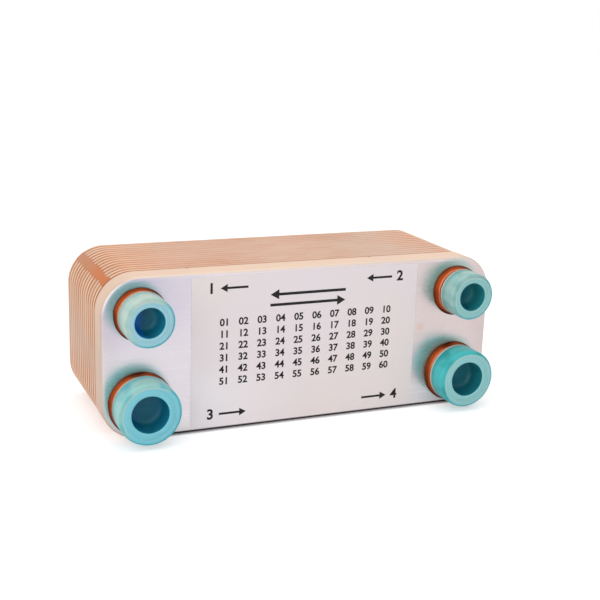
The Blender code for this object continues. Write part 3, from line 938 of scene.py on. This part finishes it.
def make_back_cover(material):
    """Back cover: a shallow tray, recessed behind, with a flat rim that it can lie on."""
    low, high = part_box("back_cover")
    front = low.y - FACE_Y
    back = high.y - FACE_Y
    edge = HALF_LENGTH - high.x
    floor = front + BACK_SHEET
    root = edge + BACK_SHEET + (back - floor) * FLARE
    profile = [
        (edge + (back - front) * FLARE + FLAT_MARGIN, front),
        (edge + (back - front) * FLARE, front),
        (edge + BACK_ROUND * FLARE, back - BACK_ROUND),
        (edge + ROUND_CUT, back - ROUND_CUT),
        (edge + BACK_ROUND, back),
        (edge + BACK_SHEET - BACK_ROUND, back),
        (edge + BACK_SHEET - ROUND_CUT, back - ROUND_CUT),
        (edge + BACK_SHEET, back - BACK_ROUND),
        (root, floor + BACK_ROUND),
        (root + ROUND_CUT, floor + ROUND_CUT),
        (root + BACK_ROUND, floor),
        (root + BACK_ROUND + FLAT_MARGIN, floor),
    ]
    mesh = bmesh.new()
    rings = [body_ring(mesh, inset, depth) for inset, depth in profile]
    skin(mesh, rings)
    fill(mesh, [rings[0]])
    fill(mesh, [rings[-1]])
    piece = finish_mesh(mesh, "back_cover_pressing")
    dress(piece, material, "chiller", "cover_steel", "back_cover")


# Ports ----------


def port_ring(mesh, radius, height):
    """A ring about a port's own axis; radius is a number or a function of the angle."""
    ring = []
    for step in range(ROUND_STEPS):
        angle = 2 * math.pi * step / ROUND_STEPS
        reach = radius(angle) if callable(radius) else radius
        ring.append(mesh.verts.new((reach * math.cos(angle), -height, reach * math.sin(angle))))
    return ring


def seat(piece, sizes):
    """Put a piece that was made about its own axis on its port."""
    piece.location = (sizes["centre"][0], FACE_Y, sizes["centre"][1])


def round_over(radius, height, size, start, end, steps=5):
    """Points of an arc about (radius, height), from start to end degrees."""
    points = []
    for step in range(steps + 1):
        angle = math.radians(start + (end - start) * step / steps)
        points.append((radius + size * math.cos(angle), height + size * math.sin(angle)))
    return points


def make_fitting(port, material):
    """A nipple with a real helical thread, and its spigot through the cover."""
    sizes = SIZES[port]
    pitch = THREAD_PITCH[sizes["kind"]]
    top = sizes["reach"] - THREAD_CHAMFER
    bottom = sizes["fillet"]
    rows = int((top - bottom) / pitch * THREAD_STEPS)

    def thread_radius(height):
        runout = min(1.0, (height - bottom) / THREAD_RUNOUT, (top - height) / THREAD_RUNOUT)

        def radius(angle):
            phase = (height / pitch + angle / (2 * math.pi)) % 1
            groove = 1 - abs(2 * phase - 1)
            return sizes["thread"] - THREAD_DEPTH * groove * max(0.0, runout)

        return radius

    mesh = bmesh.new()
    spigot = sizes["bore"] + SPIGOT_WALL
    rings = [
        port_ring(mesh, sizes["bore"], sizes["root"]),
        port_ring(mesh, spigot, sizes["root"]),
        port_ring(mesh, spigot, 0.0),
        port_ring(mesh, sizes["thread"], 0.0),
    ]
    for row in range(rows + 1):
        height = bottom + (top - bottom) * row / rows
        rings.append(port_ring(mesh, thread_radius(height), height))
    rings.append(port_ring(mesh, sizes["thread"] - THREAD_CHAMFER, sizes["reach"]))
    rings.append(port_ring(mesh, sizes["bore"] + MOUTH_CHAMFER, sizes["reach"]))
    rings.append(port_ring(mesh, sizes["bore"], sizes["reach"] - MOUTH_CHAMFER))
    skin(mesh, rings, closed=True)
    piece = finish_mesh(mesh, port + "_fitting_nipple", sharp_degrees=50.0)
    seat(piece, sizes)
    dress(piece, material, "chiller", "fitting_steel", port + "_fitting")


def make_fillet(port, material):
    """A copper fillet that sweeps from the face up the fitting, a little uneven all round."""
    sizes = SIZES[port]
    inner = sizes["thread"] - FILLET_LAP
    crown = sizes["thread"] + FILLET_CROWN_WIDTH
    foot = sizes["foot"] - FILLET_WAVE
    profile = [(inner, 0.0), (foot, 0.0)]
    size = FILLET_FOOT_ROUND
    profile += round_over(foot - size, FILLET_FOOT_HEIGHT - size, size, 0, 60, 3)
    span = sizes["fillet"] - FILLET_FOOT_HEIGHT
    for share, dent in FILLET_SWEEP:
        radius = foot + (crown - foot) * math.sin(share * math.pi / 2) - dent * FILLET_CREASE
        profile.append((radius, FILLET_FOOT_HEIGHT + span * share))
    size = FILLET_CROWN_ROUND
    profile += round_over(crown - size, sizes["fillet"] - size, size, 10, 90, 4)
    profile.append((inner, sizes["fillet"]))
    mesh = bmesh.new()
    rings = []
    for radius, height in profile:
        def uneven(angle, radius=radius, height=height):
            spot = Vector((math.cos(angle) * FILLET_BUMPS, height / MM, math.sin(angle) * FILLET_BUMPS))
            spot.x += sizes["centre"][0] / MM
            share = (radius - inner) / (foot - inner)
            lean = FILLET_LEAN * max(0.0, math.cos(angle - FILLET_LEAN_ANGLE))
            lean -= FILLET_SPREAD.get(port, 0.0) * max(0.0, -math.cos(angle))
            return radius + share * (FILLET_WAVE * noise.noise(spot) - lean)

        rings.append(port_ring(mesh, uneven, height))
    skin(mesh, rings, closed=True)
    piece = finish_mesh(mesh, port + "_fillet_bead", sharp_degrees=60.0)
    seat(piece, sizes)
    dress(piece, material, "chiller", "braze_copper", port + "_braze_fillet")


def make_cap(port, material):
    """A moulded cap: skirt, rounded end with a fine groove, and the cup that plugs the bore."""
    sizes = SIZES[port]
    top = sizes["cap_reach"]
    rear = sizes["cap_rear"]
    outer = sizes["cap"]
    skirt = sizes["thread"] + CAP_FIT_GAP
    cup = sizes["bore"] - CAP_FIT_GAP
    recess = cup - CAP_CUP_WALL
    floor = top - CAP_RECESS_DEPTH
    groove = outer - CAP_EDGE_WIDTH - CAP_GROOVE_WIDTH
    half = CAP_GROOVE_WIDTH / 2
    ceiling = top - CAP_FACE_THICKNESS
    profile = [(CAP_GATE_RADIUS, floor + CAP_GATE_HEIGHT)]
    profile.append((CAP_GATE_RADIUS * CAP_GATE_SLOPE, floor))
    profile += round_over(recess - CAP_FLOOR_ROUND, floor + CAP_FLOOR_ROUND, CAP_FLOOR_ROUND, -90, 0)
    profile += round_over(recess + CAP_MOUTH_ROUND, top - CAP_MOUTH_ROUND, CAP_MOUTH_ROUND, 180, 90)
    profile += [
        (groove - half, top),
        (groove - half * 0.5, top - CAP_GROOVE_DEPTH),
        (groove + half * 0.5, top - CAP_GROOVE_DEPTH),
        (groove + half, top),
    ]
    for step in range(CAP_EDGE_STEPS + 1):
        angle = (1 - step / CAP_EDGE_STEPS) * math.pi / 2
        radius = outer - CAP_EDGE_WIDTH * (1 - math.cos(angle))
        profile.append((radius, top - CAP_EDGE_DROP * (1 - math.sin(angle))))
    profile += round_over(outer - CAP_REAR_ROUND, rear + CAP_REAR_ROUND, CAP_REAR_ROUND, 0, -90, 3)
    profile += [(skirt, rear), (skirt, ceiling), (cup, ceiling), (cup, floor - CAP_CUP_WALL)]
    mesh = bmesh.new()
    rings = [port_ring(mesh, radius, height) for radius, height in profile]
    skin(mesh, rings)
    mesh.faces.new(rings[0])
    mesh.faces.new(rings[-1])
    piece = finish_mesh(mesh, port + "_cap_moulding", sharp_degrees=40.0)
    seat(piece, sizes)
    dress(piece, material, port + "_cap", "cap_plastic", port + "_cap")


# Label ----------


def make_label(material):
    """The paper label, with rounded corners that lift a hair off the face."""
    low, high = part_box("label")
    half_x = (high.x - low.x) / 2
    half_z = (high.z - low.z) / 2
    middle = Vector(((high.x + low.x) / 2, 0, (high.z + low.z) / 2))
    mesh = bmesh.new()
    columns, rows = LABEL_STEPS
    grid = bmesh.ops.create_grid(mesh, x_segments=columns, y_segments=rows, size=1.0)
    for corner in grid["verts"]:
        u, v = corner.co.x, corner.co.y
        x = u * half_x
        z = v * half_z
        over_x = max(0.0, abs(x) - half_x + LABEL_CORNER)
        over_z = max(0.0, abs(z) - half_z + LABEL_CORNER)
        reach = math.hypot(over_x, over_z)
        if over_x > 0 and over_z > 0:
            pull = max(over_x, over_z) / reach
            x -= math.copysign(over_x * (1 - pull), x)
            z -= math.copysign(over_z * (1 - pull), z)
        lift = LABEL_LIFT * (abs(u) * abs(v)) ** LABEL_LIFT_POWER
        corner.co = (middle.x + x, high.y - lift, middle.z + z)
    piece = finish_mesh(mesh, "label_paper_sheet")
    face_forward(piece)
    shell = piece.modifiers.new("Stock", "SOLIDIFY")
    shell.thickness = high.y - low.y
    shell.offset = 1
    dress(piece, material, "chiller", "label_paper", "label")
    return middle, low.y


def digits(text, height, x, z):
    """Plain figures as a mesh in the XZ plane, centred at (x, z)."""
    curve = bpy.data.curves.new("figures", "FONT")
    curve.body = text
    curve.size = height * FONT_SCALE
    curve.offset = height * PRINT_WEIGHT
    curve.bevel_depth = height * PRINT_WEIGHT
    curve.bevel_resolution = 0
    curve.resolution_u = FIGURE_STEPS
    curve.fill_mode = "BOTH"
    curve.align_x = "CENTER"
    curve.align_y = "CENTER"
    figures = new_object("figures", curve)
    bpy.context.view_layer.update()
    evaluated = figures.evaluated_get(bpy.context.evaluated_depsgraph_get())
    data = bpy.data.meshes.new_from_object(evaluated)
    bpy.data.objects.remove(figures)
    for corner in data.vertices:
        level = corner.co.z / curve.bevel_depth
        corner.co = (x + corner.co.x, -level * PRINT_DEPTH / 2, z + corner.co.y)
    return data


def arrow(mesh, x, z, length, thickness, direction):
    """A plain arrow centred at (x, z), pointing along X."""
    half = thickness / 2
    tip = x + direction * length / 2
    tail = x - direction * length / 2
    neck = tip - direction * thickness * ARROW_HEAD_LENGTH
    barb = half * ARROW_HEAD_WIDTH
    lower = [(tail, z - half), (neck, z - half), (neck, z - barb)]
    upper = [(neck, z + barb), (neck, z + half), (tail, z + half)]
    outline = [*lower, (tip, z), *upper]
    near = [mesh.verts.new((across, -PRINT_DEPTH / 2, up)) for across, up in outline]
    far = [mesh.verts.new((across, PRINT_DEPTH / 2, up)) for across, up in outline]
    skin(mesh, [near, far])
    mesh.faces.new(near)
    mesh.faces.new(far[::-1])


def make_print(material, middle, front):
    """Port numbers with flow arrows, a pair of counterflow arrows and a grid of plain numbers."""
    mesh = bmesh.new()
    sheets = []
    for text, side_x, side_z, direction in PORT_MARKS:
        z = side_z * PORT_MARK_Z
        sheets.append(digits(text, PORT_MARK_HEIGHT, side_x * PORT_MARK_X, z))
        arrow(mesh, side_x * PORT_ARROW_X, z, *PORT_ARROW, direction)
    for z, direction in FLOW_ARROW_ROWS:
        arrow(mesh, 0, z, *FLOW_ARROW, direction)
    for row in range(GRID_ROWS):
        for column in range(GRID_COLUMNS):
            value = row * GRID_COLUMNS + column + 1
            x = (column - (GRID_COLUMNS - 1) / 2) * GRID_PITCH[0] * MM
            z = (GRID_TOP - row * GRID_PITCH[1]) * MM
            sheets.append(digits(f"{value:02d}", GRID_MARK_HEIGHT, x, z))
    for sheet in sheets:
        mesh.from_mesh(sheet)
        bpy.data.meshes.remove(sheet)
    bmesh.ops.remove_doubles(mesh, verts=mesh.verts, dist=PRINT_DEPTH / 100)
    for corner in mesh.verts:
        corner.co += Vector((middle.x, front - PRINT_DEPTH / 2, middle.z))
    piece = finish_mesh(mesh, "label_print")
    dress(piece, material, "chiller", "label_paper")


# Stage ----------


def make_camera():
    data = bpy.data.cameras.new("camera")
    data.lens = LENS
    data.sensor_width = SENSOR
    camera = new_object("camera", data)
    level = math.cos(CAMERA_ELEVATION)
    back = Vector((
        math.sin(CAMERA_AZIMUTH) * level,
        -math.cos(CAMERA_AZIMUTH) * level,
        math.sin(CAMERA_ELEVATION),
    ))
    camera.location = CAMERA_AIM + back * CAMERA_DISTANCE
    look = (-back).to_track_quat("-Z", "Y").to_matrix().to_4x4()
    look.translation = camera.location
    camera.matrix_world = look
    camera.rotation_euler.rotate_axis("Z", CAMERA_ROLL)
    bpy.context.scene.camera = camera


def seen_shares(m):
    """1 for rays that see the stage directly; 1 for those that see it in metal or plastic."""
    outputs = m.add("ShaderNodeLightPath", {}).outputs
    mirrored = m.maths("ADD", outputs["Is Glossy Ray"], outputs["Is Transmission Ray"], clamp=True)
    return outputs["Is Camera Ray"], mirrored


def make_floor():
    """A pale floor that keeps the shadow, adds a painted contact shadow round the body and otherwise
    reads as white.
    """
    bpy.ops.mesh.primitive_plane_add(size=FLOOR_SIZE)
    floor = bpy.context.object
    floor.name = "floor"
    values = {
        "Base Color": colour((232, 232, 234)),
        "Roughness": 0.9,
        "Specular IOR Level": 0.0,
        "Emission Color": (1, 1, 1, 1),
    }
    material, m = new_material("floor_paper", values)
    x, y, _ = m.axes()
    far = m.remap(m.hypotenuse(x, y), FAR_FLOOR_START, FAR_FLOOR_END)
    direct, mirrored = seen_shares(m)
    level = m.times(direct, FLOOR_LIFT)
    level = m.maths("MULTIPLY_ADD", mirrored, MIRRORED_FLOOR_LIFT, level)
    seen = m.maths("ADD", direct, mirrored, clamp=True)
    rest = m.minus(m.times(seen, FAR_FLOOR_LIFT), level)
    level = m.maths("MULTIPLY_ADD", rest, far, level)
    # Painted contact shadow: the floor's glow fades out close round the body's footprint
    over_x = m.minus(m.maths("ABSOLUTE", x), HALF_LENGTH - CORNER_RADIUS)
    from_middle = m.gap(y, (FACE_Y + SOLID_BOX[1].y) / 2)
    over_y = m.minus(from_middle, (SOLID_BOX[1].y - FACE_Y) / 2)
    contact_shade = m.remap(m.maths("MAXIMUM", over_x, over_y), CONTACT_SHADE_INNER, CONTACT_SHADE_OUTER)
    m.tree.links.new(m.times(level, contact_shade), m.shader.inputs["Emission Strength"])
    floor.data.materials.append(material)


def make_world():
    """White wherever it is seen, and a softer white as a light."""
    world = bpy.data.worlds.new("studio")
    world.use_nodes = True
    bpy.context.scene.world = world
    m = Nodes(world.node_tree)
    background = m.tree.nodes["Background"]
    background.inputs["Color"].default_value = (1, 1, 1, 1)
    direct, mirrored = seen_shares(m)
    seen = m.maths("ADD", direct, mirrored, clamp=True)
    strength = m.maths("MULTIPLY_ADD", seen, 1.0 - WORLD_LIGHT, WORLD_LIGHT)
    m.tree.links.new(strength, background.inputs["Strength"])


def make_lamp(name, location, width, height, power, tint):
    """A soft rectangular lamp that looks at the middle of the body."""
    data = bpy.data.lights.new(name, "AREA")
    data.shape = "RECTANGLE"
    data.size = width
    data.size_y = height
    data.energy = power
    data.color = tint
    lamp = new_object(name, data)
    lamp.location = location
    aim = Vector((0.0, 0.0, MIDDLE_Z)) - Vector(location)
    lamp.rotation_euler = aim.to_track_quat("-Z", "Y").to_euler()
    lamp.visible_camera = False


def make_stage():
    make_camera()
    make_floor()
    make_world()
    for lamp in LAMPS:
        make_lamp(*lamp)
    bpy.context.scene.view_settings.view_transform = "Standard"


def dress_node(name, material):
    """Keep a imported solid's shape and give it a better surface."""
    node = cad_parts[name]
    node.data.materials.clear()
    node.data.materials.append(material)


def make_chiller():
    make_cover(cover_steel())
    rims = brazed_steel()
    for number in range(len(PLATES)):
        make_plate(number, rims)
    make_back_cover(plain_steel("back_steel", (208, 200, 198)))
    inner = plain_steel("inner_steel", (214, 204, 200))
    dress_node("front_reinforcing_plate", inner)
    dress_node("back_reinforcing_plate", inner)
    turned = fitting_steel()
    copper = braze_copper()
    for port, sizes in SIZES.items():
        make_fitting(port, turned)
        make_fillet(port, copper)
        make_cap(port, cap_plastic(port + "_plastic", sizes, *CAP_LIT_AND_SHADED_TINTS[port]))
    middle, front = make_label(label_paper())
    make_print(print_ink(), middle, front)


make_stage()
make_chiller()
bpy.context.view_layer.update()
